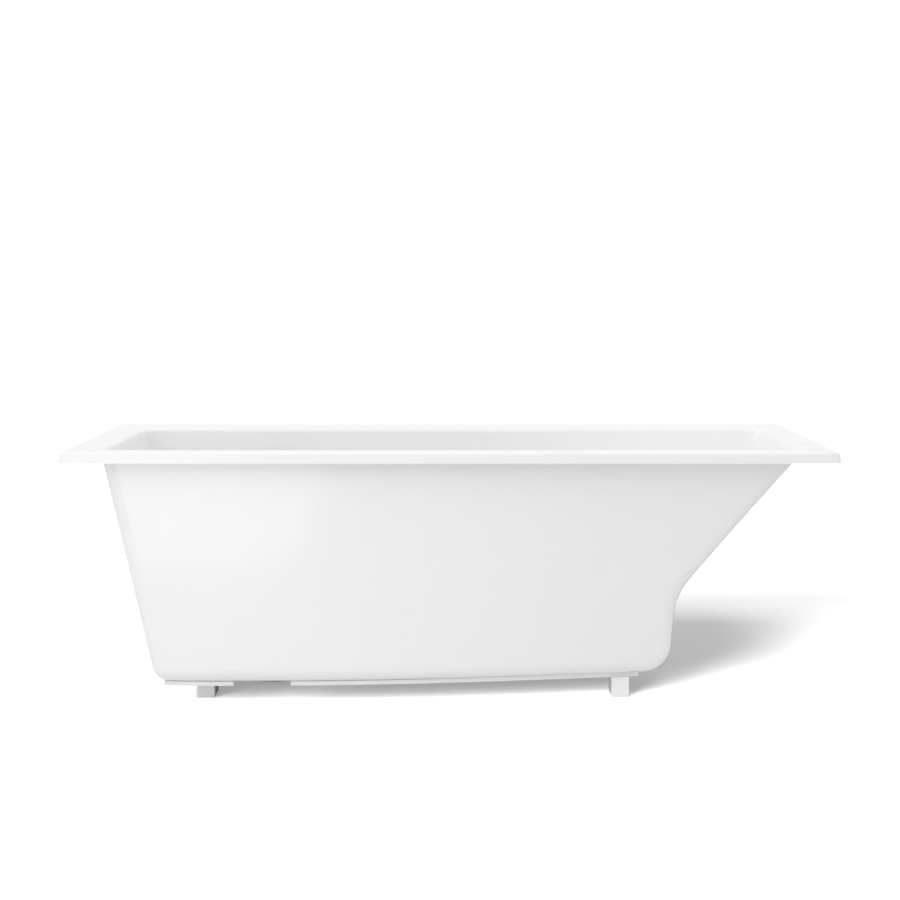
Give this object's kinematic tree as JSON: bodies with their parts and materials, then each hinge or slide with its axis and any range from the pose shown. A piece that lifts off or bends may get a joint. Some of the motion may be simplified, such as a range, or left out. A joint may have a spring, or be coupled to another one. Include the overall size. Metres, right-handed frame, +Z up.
{
  "type": "freestanding bathtub",
  "caption": "Rectangular white single-ended bath with a flat deck and skirt, standing on support boards and block feet, with a knob-worked drain plug and overflow.",
  "frame": {"origin": "centre of the bounding box's base, on the floor", "axes": "+X towards the backrest end, +Y towards the wide back deck (wall side), +Z up"},
  "size_m": [1.7, 0.8, 0.58],
  "materials": {
    "shell_white": "polished white cast sanitary composite",
    "board_white": "white sealed board",
    "foot_white": "white moulded block",
    "adhesive_grey": "cured bonding paste",
    "zinc_steel": "zinc plated",
    "chrome_trim": "polished chrome plate",
    "seal_rubber": "black rubber",
    "pipe_plastic": "satin white pipe plastic",
    "nut_plastic": "satin grey plastic",
    "lever_plastic": "natural acetal",
    "brass_fitting": "machined brass",
    "hose_plastic": "flexible white hose",
    "cable_black": "black cable jacket"
  },
  "bodies": {
    "bath": {"bath_shell": "shell_white", "board_drain_end": "board_white", "board_backrest_end": "board_white", "foot_front_drain": "foot_white", "foot_rear_drain": "foot_white", "foot_front_backrest": "foot_white", "foot_rear_backrest": "foot_white", "adhesive_pads": "adhesive_grey", "foot_screws": "zinc_steel", "waste_flange": "chrome_trim", "waste_flange_seal": "seal_rubber", "waste_gasket": "seal_rubber", "waste_body": "pipe_plastic", "trap_base": "pipe_plastic", "lever_pin": "zinc_steel", "outlet_seal": "seal_rubber", "outlet_nut": "nut_plastic", "outlet_pipe": "pipe_plastic", "overflow_body": "pipe_plastic", "overflow_back_cover": "nut_plastic", "overflow_gasket": "seal_rubber", "overflow_face_seal": "seal_rubber", "overflow_faceplate": "nut_plastic", "overflow_screws": "zinc_steel", "overflow_hose": "hose_plastic", "hose_clips": "zinc_steel", "control_cable": "cable_black", "cable_glands": "nut_plastic"},
    "knob": {"overflow_knob": "chrome_trim", "knob_screw": "zinc_steel", "knob_cap": "chrome_trim", "overflow_spindle": "brass_fitting", "cable_drum": "lever_plastic"},
    "lever": {"lift_lever": "lever_plastic"},
    "plug": {"plug_head": "chrome_trim", "plug_seal": "seal_rubber", "plug_stem": "brass_fitting", "plug_lock_nut": "brass_fitting"}
  },
  "joints": [
    {"name": "overflow_knob_turn", "type": "hinge", "parent": "bath", "child": "knob", "pos_m": [-0.416, 0.2, 0.485], "axis": [0, 1, 0], "range_deg": [0, 90]},
    {"name": "plug_lift", "type": "slide", "parent": "bath", "child": "plug", "axis": [0, 0, 1], "range_m": [0, 0.01]},
    {"name": "lift_lever_tilt", "type": "hinge", "parent": "bath", "child": "lever", "pos_m": [-0.446, -0.063, 0.036], "axis": [0, -1, 0], "range_deg": [0, 19.47]}
  ],
  "couplings": [
    {"joint": "plug_lift", "follows": "overflow_knob_turn", "m_per_rad": 0.006366},
    {"joint": "lift_lever_tilt", "follows": "overflow_knob_turn", "ratio": 0.2163}
  ]
}
